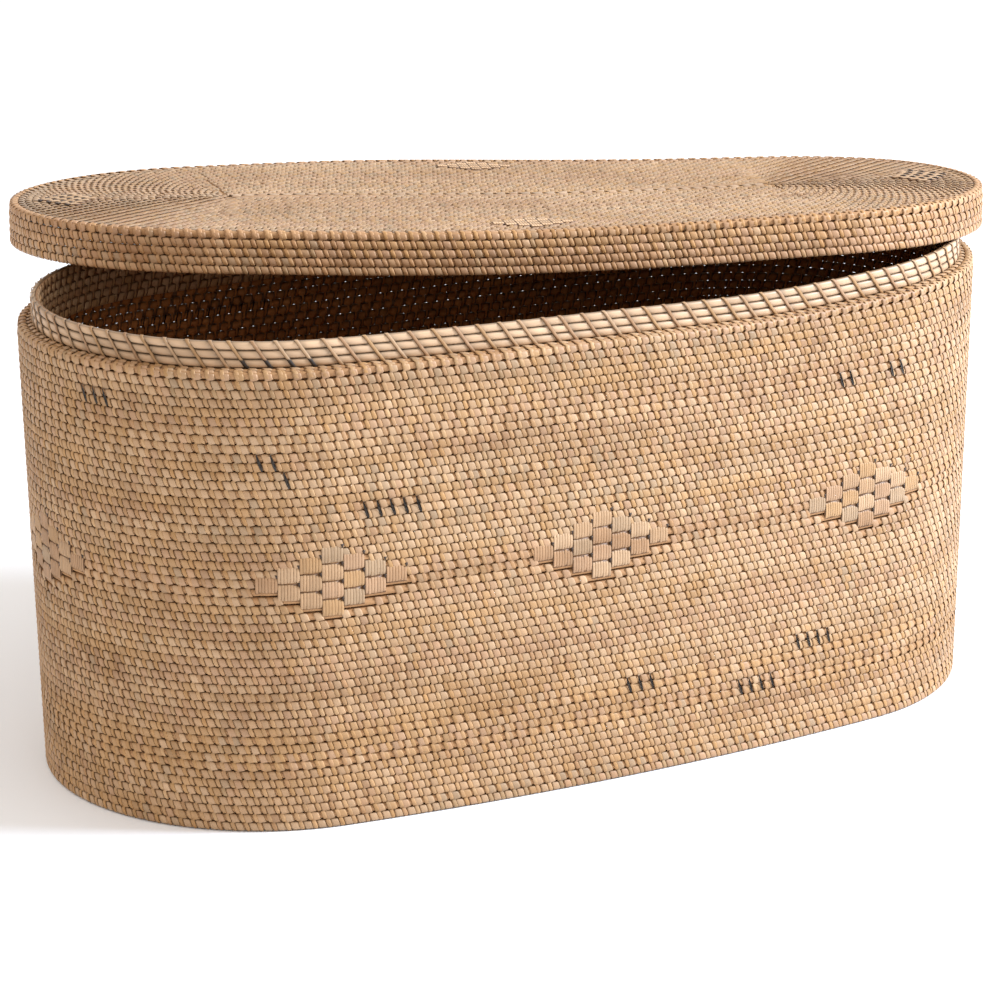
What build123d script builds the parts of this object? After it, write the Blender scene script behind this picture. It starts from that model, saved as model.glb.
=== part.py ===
from build123d import *
import math
import os

# Oval lidded trunk of coiled rattan, used as a coffee table. Millimetres.
# Frame: origin on the floor under the middle of the base, +X along the trunk,
# +Y towards the back, +Z up.
#
# Every outline is the same oval of four tangent arcs, grown or shrunk by an even
# amount, so an offset is always given as "grow": how far outside (or, negative,
# inside) the shoulder's outline an edge lies.

# ---- driving dimensions -------------------------------------------------------------
HALF_LENGTH = 488.0         # middle to the end of the shoulder
HALF_WIDTH = 244.0          # middle to the side of the shoulder
END_RADIUS = 228.0          # the two tight ends
SHOULDER_HEIGHT = 430.0     # floor to the ledge that the closed lid sits on
COURSE = 8.3                # height of one turn of the coil
TAPER_IN = 7.5              # how much smaller the foot is than the shoulder, all round
WALL = 8.0

FOOT_WIDTH = 12.0
BASE_THICKNESS = 8.0
BASE_SLATS = 3
SLAT_PITCH = 260.0
SLAT_LENGTH = 400.0
SLAT_WIDTH = 30.0
SLAT_THICKNESS = 4.0
CORE_LENGTH = 544.0         # the straight rod that each flat coil starts around
CORE_WIDTH = 8.0

RIM_INSET = 13.5            # shoulder's edge to the outside of the rim
RIM_HEIGHT = 24.0
RAIL_THICKNESS = 3.6
RAIL_ROUND = 1.2
COLLAR_WALL = 3.5
COLLAR_DEPTH = 24.0         # collar below the shoulder
COLLAR_TOP_DROP = 1.0       # collar's top below the upper rail's

LASHES = 98
LASH_WIDTH = 2.6
LASH_THICKNESS = 0.9
LASH_LEAN = 35.0            # degrees from upright, top to the left

DIAMOND_LEVEL = 235.0
DIAMOND_FRONT_X = (-300.0, -37.0, 262.0)
DIAMOND_BACK_X = (-300.0, 0.0, 300.0)
DIAMOND_COLUMNS = (1, 2, 3, 4, 3, 2, 1)     # blocks in each column
DIAMOND_BLOCK_WIDTH = 20.0
DIAMOND_BLOCK_HEIGHT = 2 * COURSE
DIAMOND_THICKNESS = 1.0

LID_GROW = -3.0             # lid's edge, just inside the shoulder's edge when closed
LID_BAND = 41.0             # height of the lid's side
LID_TOP = 9.0
SKIRT_WALL = 8.0
EDGE_ROUND = 4.0
BATTEN_LENGTH = 760.0
BATTEN_WIDTH = 22.0
BATTEN_DEPTH = 17.0
BATTEN_ROUND = 6.0
BATTEN_OFFSET = 120.0       # middle line of the lid to each batten
ORNAMENT_WIDTH = 56.0
ORNAMENT_THICKNESS = 0.8
ORNAMENT_INSET_X = 61.0     # lid's edge to the middle of an ornament
ORNAMENT_INSET_Y = 55.0

# The lid as it lies, askew on the open trunk. Z is at the foot of its skirt.
LID_X = 52.0
LID_Y = 119.0
LID_Z = 451.1
LID_TURN = -19.0            # degrees about the vertical, clockwise from above
LID_RISE_ALONG = -0.030     # millimetres up per millimetre along +X
LID_RISE_BACK = -0.052      # millimetres up per millimetre along +Y

# ---- worked out from them -----------------------------------------------------------
FOCUS = HALF_LENGTH - END_RADIUS
SIDE_RADIUS = (HALF_WIDTH**2 - END_RADIUS**2 + FOCUS**2) / (2 * (HALF_WIDTH - END_RADIUS))
SIDE_DEPTH = SIDE_RADIUS - HALF_WIDTH       # middle to the centre of a side's arc
RAIL_HEIGHT = RIM_HEIGHT / 3
COLLAR_GROW = -RIM_INSET - RAIL_THICKNESS
FOOT_GROW = -TAPER_IN
SHOULDER_FOOT = SHOULDER_HEIGHT - COURSE
RIM_TOP = SHOULDER_HEIGHT + RIM_HEIGHT
SKIRT_INSIDE = LID_GROW - SKIRT_WALL
LID_UNDERSIDE = LID_BAND - LID_TOP

os.makedirs("parts", exist_ok=True)


def oval(grow):
    """A four-centre oval: two end arcs and two side arcs, tangent where they meet."""
    end = END_RADIUS + grow
    meet_x = FOCUS + end * FOCUS / (SIDE_RADIUS - END_RADIUS)
    meet_y = end * SIDE_DEPTH / (SIDE_RADIUS - END_RADIUS)
    side_y = HALF_WIDTH + grow
    end_x = HALF_LENGTH + grow
    with BuildSketch() as outline:
        with BuildLine():
            ThreePointArc((-meet_x, meet_y), (0, side_y), (meet_x, meet_y))
            ThreePointArc((meet_x, meet_y), (end_x, 0), (meet_x, -meet_y))
            ThreePointArc((meet_x, -meet_y), (0, -side_y), (-meet_x, -meet_y))
            ThreePointArc((-meet_x, -meet_y), (-end_x, 0), (-meet_x, meet_y))
        make_face()
    return outline.sketch


def oval_ring(outside, inside):
    """The band between two of those ovals."""
    with BuildSketch() as band:
        add(oval(outside))
        add(oval(inside), mode=Mode.SUBTRACT)
    return band.sketch


def wall_grow(height):
    """How far the tapered wall's outside lies from the shoulder's outline."""
    return -TAPER_IN * (1 - height / SHOULDER_HEIGHT)


def side_plane(x, side, grow, height):
    """An upright plane on the oval at x, facing outwards. side is 1 at the back, -1 in front,
    and 0 at the end that x points to."""
    if side == 0:
        outward = Vector(math.copysign(1, x), 0, 0)
        spot = Vector(math.copysign(HALF_LENGTH + grow, x), 0, height)
    else:
        reach = math.sqrt((SIDE_RADIUS + grow) ** 2 - x**2)
        outward = Vector(x, side * reach, 0)
        spot = Vector(x, side * (reach - SIDE_DEPTH), height)
    return Plane(origin=spot, x_dir=Vector(0, 0, 1).cross(outward), z_dir=outward)


def finish(piece, name):
    """Label a finished piece and write its file."""
    piece.part.label = name
    export_step(piece.part, f"parts/{name}.step")


# ---- base ---------------------------------------------------------------------------
# The trunk stands on the lowest turn of the coil and on the slats under the base.
with BuildPart() as foot_ring:
    with BuildSketch():
        add(oval_ring(FOOT_GROW, FOOT_GROW - FOOT_WIDTH))
    extrude(amount=COURSE)
finish(foot_ring, "foot_ring")

with BuildPart() as base_slats:
    with BuildSketch():
        with GridLocations(SLAT_PITCH, 0, BASE_SLATS, 1):
            Rectangle(SLAT_WIDTH, SLAT_LENGTH)
    extrude(amount=SLAT_THICKNESS)
finish(base_slats, "base_slats")

with BuildPart() as base_panel:
    with BuildSketch(Plane.XY.offset(SLAT_THICKNESS)):
        add(oval(FOOT_GROW - FOOT_WIDTH))
        SlotOverall(CORE_LENGTH, CORE_WIDTH, mode=Mode.SUBTRACT)
    extrude(amount=BASE_THICKNESS)
finish(base_panel, "base_panel")

with BuildPart() as base_core:
    with BuildSketch(Plane.XY.offset(SLAT_THICKNESS)):
        SlotOverall(CORE_LENGTH, CORE_WIDTH)
    extrude(amount=BASE_THICKNESS)
finish(base_core, "base_core")

# ---- wall and shoulder --------------------------------------------------------------
with BuildPart() as wall:
    with BuildSketch(Plane.XY.offset(COURSE)):
        add(oval(wall_grow(COURSE)))
    with BuildSketch(Plane.XY.offset(SHOULDER_FOOT)):
        add(oval(wall_grow(SHOULDER_FOOT)))
    loft(ruled=True)
    with BuildSketch(Plane.XY.offset(COURSE)):
        add(oval(wall_grow(COURSE) - WALL))
    with BuildSketch(Plane.XY.offset(SHOULDER_FOOT)):
        add(oval(wall_grow(SHOULDER_FOOT) - WALL))
    loft(ruled=True, mode=Mode.SUBTRACT)
finish(wall, "wall")

with BuildPart() as shoulder_ring:
    with BuildSketch(Plane.XY.offset(SHOULDER_FOOT)):
        add(oval_ring(0, COLLAR_GROW))
    extrude(amount=COURSE)
    fillet(edges().group_by(Axis.Z)[-1].group_by(SortBy.LENGTH)[-1], radius=RAIL_ROUND)
finish(shoulder_ring, "shoulder_ring")

# Flat woven patches set into the outside of the wall. Each is a stepped diamond of
# small blocks, and they are cut from a thin skin that follows the wall.
with BuildPart() as diamond_blanks:
    for x, side in (
        [(x, -1) for x in DIAMOND_FRONT_X]
        + [(x, 1) for x in DIAMOND_BACK_X]
        + [(-HALF_LENGTH, 0), (HALF_LENGTH, 0)]
    ):
        with BuildSketch(side_plane(x, side, wall_grow(DIAMOND_LEVEL), DIAMOND_LEVEL)):
            for column, blocks in enumerate(DIAMOND_COLUMNS):
                step = (column - (len(DIAMOND_COLUMNS) - 1) / 2) * DIAMOND_BLOCK_WIDTH
                with Locations((step, 0)):
                    Rectangle(DIAMOND_BLOCK_WIDTH, blocks * DIAMOND_BLOCK_HEIGHT)
        extrude(amount=4 * WALL, both=True)

with BuildPart() as wall_diamonds:
    with BuildSketch(Plane.XY.offset(COURSE)):
        add(oval(wall_grow(COURSE) + DIAMOND_THICKNESS))
    with BuildSketch(Plane.XY.offset(SHOULDER_FOOT)):
        add(oval(wall_grow(SHOULDER_FOOT) + DIAMOND_THICKNESS))
    loft(ruled=True)
    with BuildSketch(Plane.XY.offset(COURSE)):
        add(oval(wall_grow(COURSE)))
    with BuildSketch(Plane.XY.offset(SHOULDER_FOOT)):
        add(oval(wall_grow(SHOULDER_FOOT)))
    loft(ruled=True, mode=Mode.SUBTRACT)
    add(diamond_blanks.part, mode=Mode.INTERSECT)
finish(wall_diamonds, "wall_diamonds")

# ---- rim ----------------------------------------------------------------------------
# A collar stands up inside the shoulder, with three flat rails round its outside that
# the lashing binds to it. The lid's skirt drops over it.
with BuildPart() as rim_collar:
    with BuildSketch(Plane.XY.offset(SHOULDER_HEIGHT - COLLAR_DEPTH)):
        add(oval_ring(COLLAR_GROW, COLLAR_GROW - COLLAR_WALL))
    extrude(amount=COLLAR_DEPTH + RIM_HEIGHT - COLLAR_TOP_DROP)
finish(rim_collar, "rim_collar")

for rail, name in enumerate(("rim_rail_lower", "rim_rail_middle", "rim_rail_upper")):
    with BuildPart() as rim_rail:
        with BuildSketch(Plane.XY.offset(SHOULDER_HEIGHT + rail * RAIL_HEIGHT)):
            add(oval_ring(-RIM_INSET, COLLAR_GROW))
        extrude(amount=RAIL_HEIGHT)
        for level in (0, -1):
            outer_edge = edges().group_by(Axis.Z)[level].group_by(SortBy.LENGTH)[-1]
            fillet(outer_edge, radius=RAIL_ROUND)
    finish(rim_rail, name)

rim_path = oval(-RIM_INSET).wire()
with BuildPart() as rim_lashing:
    for lash in range(LASHES):
        around = rim_path.tangent_at(lash / LASHES)
        spot = rim_path.position_at(lash / LASHES)
        outward = around.cross(Vector(0, 0, 1))
        if outward.dot(spot) < 0:
            outward = -outward
        upright = Plane(
            origin=spot + Vector(0, 0, SHOULDER_HEIGHT + RIM_HEIGHT / 2),
            x_dir=Vector(0, 0, 1).cross(outward),
            z_dir=outward,
        )
        with BuildSketch(upright):
            Rectangle(LASH_WIDTH, RIM_HEIGHT - 2 * RAIL_ROUND, rotation=LASH_LEAN)
        extrude(amount=LASH_THICKNESS)
finish(rim_lashing, "rim_lashing")

# ---- lid ----------------------------------------------------------------------------
turn = math.radians(LID_TURN)
lid_along = Vector(
    math.cos(turn),
    math.sin(turn),
    LID_RISE_ALONG * math.cos(turn) + LID_RISE_BACK * math.sin(turn),
)
lid_plane = Plane(
    origin=(LID_X, LID_Y, LID_Z),
    x_dir=lid_along,
    z_dir=(-LID_RISE_ALONG, -LID_RISE_BACK, 1),
)

with BuildPart() as lid_top:
    with BuildSketch(lid_plane.offset(LID_UNDERSIDE)):
        add(oval(SKIRT_INSIDE))
        SlotOverall(CORE_LENGTH, CORE_WIDTH, mode=Mode.SUBTRACT)
    extrude(amount=LID_TOP)
finish(lid_top, "lid_top")

with BuildPart() as lid_core:
    with BuildSketch(lid_plane.offset(LID_UNDERSIDE)):
        SlotOverall(CORE_LENGTH, CORE_WIDTH)
    extrude(amount=LID_TOP)
finish(lid_core, "lid_core")

with BuildPart() as lid_skirt:
    with BuildSketch(lid_plane):
        add(oval_ring(LID_GROW, SKIRT_INSIDE))
    extrude(amount=LID_BAND - COURSE)
finish(lid_skirt, "lid_skirt")

with BuildPart() as lid_edge_ring:
    with BuildSketch(lid_plane.offset(LID_BAND - COURSE)):
        add(oval_ring(LID_GROW, SKIRT_INSIDE))
    extrude(amount=COURSE)
    top_edges = faces().sort_by(Axis(lid_plane.origin, lid_plane.z_dir))[-1].edges()
    fillet(top_edges.group_by(SortBy.LENGTH)[-1], radius=EDGE_ROUND)
finish(lid_edge_ring, "lid_edge_ring")

# Two poles stiffen the lid. They drop inside the rim when it is closed, and as it lies
# now one of them rests on the back of the rim.
with BuildPart() as lid_battens:
    with BuildSketch(lid_plane.offset(LID_UNDERSIDE)):
        with GridLocations(0, 2 * BATTEN_OFFSET, 1, 2):
            Rectangle(BATTEN_LENGTH, BATTEN_WIDTH)
    extrude(amount=-BATTEN_DEPTH)
    lower_faces = faces().sort_by(Axis(lid_plane.origin, lid_plane.z_dir))[:2]
    fillet(lower_faces.edges().group_by(SortBy.LENGTH)[-1], radius=BATTEN_ROUND)
finish(lid_battens, "lid_battens")

ornament_x = HALF_LENGTH + LID_GROW - ORNAMENT_INSET_X
ornament_y = HALF_WIDTH + LID_GROW - ORNAMENT_INSET_Y
with BuildPart() as lid_ornaments:
    with BuildSketch(lid_plane.offset(LID_BAND)):
        with Locations((-ornament_x, 0), (ornament_x, 0), (0, -ornament_y), (0, ornament_y)):
            Rectangle(ORNAMENT_WIDTH, ORNAMENT_WIDTH, rotation=45)
    extrude(amount=ORNAMENT_THICKNESS)
finish(lid_ornaments, "lid_ornaments")
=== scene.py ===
import math

import bpy
import numpy as np
from mathutils import Matrix, Vector


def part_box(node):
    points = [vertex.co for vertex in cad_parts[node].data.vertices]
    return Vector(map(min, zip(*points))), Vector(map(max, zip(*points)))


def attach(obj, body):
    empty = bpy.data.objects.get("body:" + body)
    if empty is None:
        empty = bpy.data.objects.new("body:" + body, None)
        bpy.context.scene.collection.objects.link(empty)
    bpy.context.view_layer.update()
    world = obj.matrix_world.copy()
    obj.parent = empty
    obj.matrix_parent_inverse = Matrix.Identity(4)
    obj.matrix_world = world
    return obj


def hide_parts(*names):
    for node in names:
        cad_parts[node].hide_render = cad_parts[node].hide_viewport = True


# Oval lidded trunk of coiled rattan, its lid lying askew on the open rim. Metres.
#
# Everything woven is made the same way. Rods lie side by side in courses, and every
# course is sewn with peel: each stitch is a wide block over its own rod and a narrow
# tail over the next one. A Fabric says where such courses lie, as place(u, v, out):
#   u    0 to 1 around the oval, from the middle of the front and towards +X first
#   v    courses, counted down from a wall's top or inwards from a flat coil's edge
#   out  metres from the rods' middle line to the fabric's outer side

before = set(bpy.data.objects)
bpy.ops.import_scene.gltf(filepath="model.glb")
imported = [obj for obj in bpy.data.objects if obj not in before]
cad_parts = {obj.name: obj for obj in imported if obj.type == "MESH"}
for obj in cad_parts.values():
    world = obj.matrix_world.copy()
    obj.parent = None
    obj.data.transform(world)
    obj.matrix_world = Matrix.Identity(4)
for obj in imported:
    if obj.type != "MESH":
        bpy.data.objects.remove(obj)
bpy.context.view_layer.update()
rng = np.random.default_rng(7)

# ---- dimensions, from the frame and a few driving sizes --------------------------------
MM = 0.001
HALF_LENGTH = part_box("shoulder_ring")[1].x
HALF_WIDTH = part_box("shoulder_ring")[1].y
SHOULDER_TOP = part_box("shoulder_ring")[1].z
FOOT_TAPER = HALF_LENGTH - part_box("foot_ring")[1].x
RIM_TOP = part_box("rim_rail_upper")[1].z
RIM_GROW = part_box("rim_rail_upper")[1].x - HALF_LENGTH
COLLAR_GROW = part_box("rim_collar")[1].x - HALF_LENGTH
COLLAR_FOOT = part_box("rim_collar")[0].z
COLLAR_TOP = RIM_TOP - 1.0 * MM
COLLAR_INSET = 1.9 * MM         # from the collar's outer face to its rods' middle line
PANEL_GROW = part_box("base_panel")[1].x - HALF_LENGTH
PANEL_MIDDLE = (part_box("base_panel")[0].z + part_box("base_panel")[1].z) / 2
CORE_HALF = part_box("base_core")[1].x
CORE_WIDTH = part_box("base_core")[1].y * 2

END_RADIUS = 0.228
WALL_COURSES = 52
COURSE = SHOULDER_TOP / WALL_COURSES
ROD = 3.95 * MM                 # radius of a wall rod
PEEL = 0.9 * MM                 # how far the stitches stand out from the rods
STITCHES = 198                  # around one course
SHIFT = 0.41                    # how far each course's stitches are past the last one's, in stitches
SAG = 3.5 * MM                  # how far the rim sinks in the middle of the long sides
DIP = 5.0 * MM                  # how far it sinks further where the front has been leant on
DIP_X = 0.17
DIP_REACH = 0.15

LID_GROW = -3.0 * MM            # lid's edge, against the shoulder's
LID_BAND = 41.0 * MM
LID_COURSES = 5
LID_COURSE = LID_BAND / LID_COURSES
LID_ORIGIN = Vector((0.052, 0.119, 0.4511))     # the askew lid's own frame, as in the CAD
LID_TURN = math.radians(-19.0)
LID_RISE_ALONG = -0.030
LID_RISE_BACK = -0.052
LID_SAG = 6.5 * MM              # how far the lid sinks between its ends
LID_SAG_REACH = 0.36
BAND_ROD = 4.0 * MM
COIL_COURSES = 29               # turns in a flat coil, from its edge to its core
COIL_ROD = 3.85 * MM

# ---- the oval --------------------------------------------------------------------------
FOCUS = HALF_LENGTH - END_RADIUS
SIDE_RADIUS = (HALF_WIDTH**2 - END_RADIUS**2 + FOCUS**2) / (2 * (HALF_WIDTH - END_RADIUS))
SIDE_DEPTH = SIDE_RADIUS - HALF_WIDTH
END_SPREAD = math.atan2(SIDE_DEPTH, FOCUS)      # half the angle of an end's arc
SIDE_HALF = SIDE_RADIUS * (math.pi / 2 - END_SPREAD)
END_LENGTH = 2 * END_RADIUS * END_SPREAD
AROUND = 4 * SIDE_HALF + 2 * END_LENGTH


def oval(u):
    """Points on the shoulder's outline, their outward directions, and the points of the
    core line that those directions come from."""
    s = (np.asarray(u, float) % 1.0) * AROUND
    marks = np.cumsum([SIDE_HALF, END_LENGTH, 2 * SIDE_HALF, END_LENGTH, SIDE_HALF])
    part = np.minimum(np.searchsorted(marks, s, side="right"), 4)
    begun = np.concatenate(([0.0], marks))[part]
    first = np.array([-math.pi / 2, -END_SPREAD, END_SPREAD, math.pi - END_SPREAD,
                      math.pi + END_SPREAD])[part]
    radius = np.where(part % 2 == 1, END_RADIUS, SIDE_RADIUS)
    angle = first + (s - begun) / radius
    middle_x = np.array([0.0, FOCUS, 0.0, -FOCUS, 0.0])[part]
    middle_y = np.array([SIDE_DEPTH, 0.0, -SIDE_DEPTH, 0.0, SIDE_DEPTH])[part]
    nx, ny = np.cos(angle), np.sin(angle)
    x, y = middle_x + radius * nx, middle_y + radius * ny
    on_side = part % 2 == 0
    reach = np.where(on_side, np.abs(y / np.where(on_side, ny, 1.0)), END_RADIUS)
    core_x = x - reach * nx
    return x, y, nx, ny, core_x


def wall_sag(x, y, z):
    """How far the trunk's wall has sunk at a point: most at the rim, amid the long sides."""
    amid = np.clip(1 - (x / HALF_LENGTH) ** 2, 0, 1) ** 2
    front = np.clip(-y / HALF_WIDTH, 0, 1)
    dip = DIP * front * np.exp(-((x - DIP_X) / DIP_REACH) ** 2)
    return (SAG * amid + dip) * np.clip(z / SHOULDER_TOP, 0, 1.1) ** 3


class Wall:
    """The trunk's side: course 0 is the shoulder, the last is the foot."""

    rod = ROD
    course = COURSE
    courses = WALL_COURSES

    def place(self, u, v, out):
        x, y, nx, ny, _ = oval(u)
        z = SHOULDER_TOP - v * COURSE
        grow = -FOOT_TAPER * v / WALL_COURSES - ROD - 0.5 * PEEL + out
        x, y = x + grow * nx, y + grow * ny
        return np.stack(np.broadcast_arrays(x, y, z - wall_sag(x, y, z)), -1)


class Band:
    """The lid's side, in the lid's own frame."""

    rod = BAND_ROD
    course = LID_COURSE
    courses = LID_COURSES

    def place(self, u, v, out):
        x, y, nx, ny, _ = oval(u)
        grow = LID_GROW - ROD - PEEL + out
        z = LID_BAND - v * LID_COURSE
        return np.stack(np.broadcast_arrays(x + grow * nx, y + grow * ny, z), -1)


class Turned:
    """The fabric that turns the edge above a side: course -1 lies flat, course 0 is the
    edge itself, and from v = 1 it is the side's own fabric."""

    def __init__(self, side):
        self.side, self.rod, self.course = side, side.rod, side.course

    def place(self, u, v, out):
        inward = np.clip(0.5 - v, 0, None) * self.course
        turn = np.clip((0.95 - v) / 0.9, 0, 1) * math.pi / 2
        points = self.side.place(u, np.maximum(v, 0.5), out * np.cos(turn) - inward)
        points[..., 2] += out * np.sin(turn)
        return points


class Collar:
    """The woven collar inside the rim, much thinner than the wall."""

    rod = ROD
    courses = 6
    course = (COLLAR_TOP - COLLAR_FOOT) / courses
    thin = 0.40                 # its thickness, of the wall's

    def place(self, u, v, out):
        x, y, nx, ny, _ = oval(u)
        z = COLLAR_TOP - v * self.course
        grow = COLLAR_GROW - COLLAR_INSET + self.thin * out
        x, y = x + grow * nx, y + grow * ny
        return np.stack(np.broadcast_arrays(x, y, z - wall_sag(x, y, z)), -1)


class Coil:
    """A flat oval coil around a straight core. Its outermost course is 0. side is 1 where
    the outer side faces up, and -1 where it faces down."""

    rod = COIL_ROD

    def __init__(self, grow, middle, side=1, courses=COIL_COURSES):
        self.grow, self.middle, self.side, self.courses = grow, middle, side, courses
        self.course = (HALF_WIDTH + grow - CORE_WIDTH / 2) / courses

    def place(self, u, v, out):
        x, y, nx, ny, core_x = oval(u)
        core_x = core_x * CORE_HALF / FOCUS
        share = 1 - v / self.courses
        edge_x, edge_y = x + self.grow * nx, y + self.grow * ny
        side_y = np.sign(edge_y) * CORE_WIDTH / 2 * np.abs(ny)
        px = core_x + (edge_x - core_x) * share
        py = side_y + (edge_y - side_y) * share
        z = self.middle + self.side * out
        return np.stack(np.broadcast_arrays(px, py, z), -1)


def speed(fabric, u, v):
    """Metres along a course for each unit of u."""
    step = 1e-4
    ahead = fabric.place(u + step, v, 0.0)
    behind = fabric.place(u - step, v, 0.0)
    return np.linalg.norm(ahead - behind, axis=-1) / (2 * step)


def even(fabric, v, count, phase=0.0):
    """count values of u spaced evenly along course v. phase is in spacings."""
    fine = np.linspace(0, 1, 1201)
    length = np.concatenate(([0.0], np.cumsum(
        np.linalg.norm(np.diff(fabric.place(fine, v, 0.0), axis=0), axis=1))))
    wanted = ((np.arange(count) + phase) / count) % 1.0 * length[-1]
    return np.interp(wanted, length, fine)


def even_halves(fabric, v, pitch, phase):
    """Values of u a whole pitch apart, counted from the middle of the front and again from
    the middle of the back, so that neighbouring courses keep step along both long sides."""
    fine = np.linspace(-0.25, 0.25, 601)
    found = []
    for middle in (0.0, 0.5):
        steps = np.diff(fabric.place(fine + middle, v, 0.0), axis=0)
        length = np.concatenate(([0.0], np.cumsum(np.linalg.norm(steps, axis=1))))
        half = length[-1] / 2
        first = math.ceil(-half / pitch - phase)
        last = math.floor(half / pitch - phase)
        if 2 * half / pitch - (last - first) < 0.5:     # too close to the other half's first
            last -= 1
        wanted = (np.arange(first, last + 1) + phase) * pitch + half
        found.append(np.interp(wanted, length, fine) + middle)
    return np.concatenate(found) % 1.0


def course_length(fabric, v):
    fine = fabric.place(np.linspace(0, 1, 601), v, 0.0)
    return float(np.linalg.norm(np.diff(fine, axis=0), axis=1).sum())


# ---- colours of the peel ---------------------------------------------------------------
CREAM = (0.463, 0.298, 0.168)
PALE = (0.430, 0.264, 0.140)
GOLD = (0.416, 0.242, 0.110)
PINK = (0.418, 0.250, 0.138)
TAN = (0.375, 0.215, 0.109)
GREY = (0.381, 0.251, 0.144)
# painted shade: the colour of the sheets behind blocks and of the patches in their holes
HOLLOW_SHADE = (0.150, 0.072, 0.030)
ROD_TAN = (0.400, 0.215, 0.095)
# painted shade: the colour of the rods' inner sides and of the ledge's core
ROD_SHADE = (0.150, 0.072, 0.030)
PEELS = np.array([CREAM, PALE, GOLD, PINK, TAN, GREY])
WALL_MIX = (0.24, 0.28, 0.20, 0.16, 0.08, 0.04)
LID_MIX = (0.14, 0.30, 0.12, 0.20, 0.12, 0.12)


def peel_colours(count, mix, runs=6, jitter=0.055, stray=0.30):
    """Colours of a course's stitches. One strip of peel makes a run of them, and the strips
    differ; some stitches stray from their run."""
    ends = np.sort(rng.random(runs)) * count
    run = np.searchsorted(ends, np.arange(count)) % runs
    kind = rng.choice(len(PEELS), runs, p=mix)[run]
    strays = rng.random(count) < stray
    kind = np.where(strays, rng.choice(len(PEELS), count, p=mix), kind)
    shade = 1 + jitter * rng.standard_normal((count, 1))
    return PEELS[kind] * np.clip(shade, 0.75, 1.25)


# ---- meshes ----------------------------------------------------------------------------
MOST_QUADS = 95_000


class Weave:
    """Gathers closed strands and rods, with a colour and grain for each point."""

    def __init__(self):
        self.points, self.colours, self.grain, self.quads, self.total = [], [], [], [], 0

    def strands(self, points, colours, grain_step=1.0):
        """points is strands x sections x corners x 3: each strand is a closed tube."""
        strands, sections, corners, _ = points.shape
        self._keep(points, colours, grain_step)
        corner = np.arange(corners)
        nearby = (corner + 1) % corners
        row = np.arange(sections - 1)[:, None] * corners
        side = np.stack([row + corner, row + nearby, row + corners + nearby,
                         row + corners + corner], -1).reshape(-1, 4)
        half = np.arange(corners // 2 - 1)
        cap = np.stack([half, half + 1, corners - 2 - half, corners - 1 - half], -1)
        side = np.concatenate([side, cap[:, ::-1], cap + (sections - 1) * corners])
        offsets = np.arange(strands)[:, None, None] * sections * corners
        self.quads.append((side[None] + offsets + self.total).reshape(-1, 4))
        self.total += strands * sections * corners

    def hoop(self, points, colours, grain_step=1.0):
        """points is sections x corners x 3: a rod or rail that closes on itself."""
        sections, corners, _ = points.shape
        self._keep(points[None], colours, grain_step)
        row = np.arange(sections)[:, None]
        corner = np.arange(corners)[None, :]
        after, nearby = (row + 1) % sections, (corner + 1) % corners
        quads = np.stack([row * corners + corner, row * corners + nearby,
                          after * corners + nearby, after * corners + corner], -1)
        self.quads.append(quads.reshape(-1, 4) + self.total)
        self.total += sections * corners

    def _keep(self, points, colours, grain_step):
        strands, _, corners, _ = points.shape
        middle = points.mean(2)
        run = np.linalg.norm(np.diff(middle, axis=1), axis=2)
        run = np.concatenate([np.zeros((strands, 1)), np.cumsum(run, 1)], 1)
        grain = np.zeros(points.shape)
        grain[..., 0] = run[:, :, None] * grain_step
        grain[..., 1] = np.arange(corners) * 1.2 * MM
        grain[..., 2] = rng.random((strands, 1, 1)) * 10
        self.points.append(points.reshape(-1, 3))
        self.grain.append(grain.reshape(-1, 3))
        self.colours.append(np.broadcast_to(colours, points.shape).reshape(-1, 3))

    def pieces(self, name, material, body, slot, replaced=(), matrix=None, warp=None):
        """Makes the mesh objects, as many as their size asks for."""
        points = np.concatenate(self.points)
        colours = np.concatenate(self.colours)
        grain = np.concatenate(self.grain)
        quads = np.concatenate(self.quads)
        if warp is not None:
            points = warp(points)
        if matrix is not None:
            points = points @ matrix[:3, :3].T + matrix[:3, 3]
        parts = max(1, math.ceil(len(quads) / MOST_QUADS))
        made = []
        for part, some in enumerate(np.array_split(quads, parts)):
            used, quad = np.unique(some, return_inverse=True)
            label = name if parts == 1 else f"{name}_{part + 1}"
            made.append(mesh_piece(label, points[used], quad.reshape(-1, 4), colours[used],
                                   grain[used], material, body))
        if replaced:
            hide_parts(*replaced)
        return made


def mesh_piece(name, points, quads, colours, grain, material, body):
    mesh = bpy.data.meshes.new(name)
    mesh.vertices.add(len(points))
    mesh.vertices.foreach_set("co", points.astype(np.float32).ravel())
    mesh.loops.add(quads.size)
    mesh.loops.foreach_set("vertex_index", quads.astype(np.int32).ravel())
    mesh.polygons.add(len(quads))
    mesh.polygons.foreach_set("loop_start", np.arange(0, quads.size, 4, dtype=np.int32))
    mesh.update(calc_edges=True)
    mesh.polygons.foreach_set("use_smooth", np.ones(len(quads), dtype=bool))
    peel = mesh.attributes.new("peel", "FLOAT_COLOR", "POINT")
    rgba = np.concatenate([colours, np.ones((len(colours), 1))], 1)
    peel.data.foreach_set("color", rgba.astype(np.float32).ravel())
    lines = mesh.attributes.new("grain", "FLOAT_VECTOR", "POINT")
    lines.data.foreach_set("vector", grain.astype(np.float32).ravel())
    mesh.materials.append(material)
    mesh.validate()
    piece = bpy.data.objects.new(name, mesh)
    bpy.context.scene.collection.objects.link(piece)
    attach(piece, body)
    return piece


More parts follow.
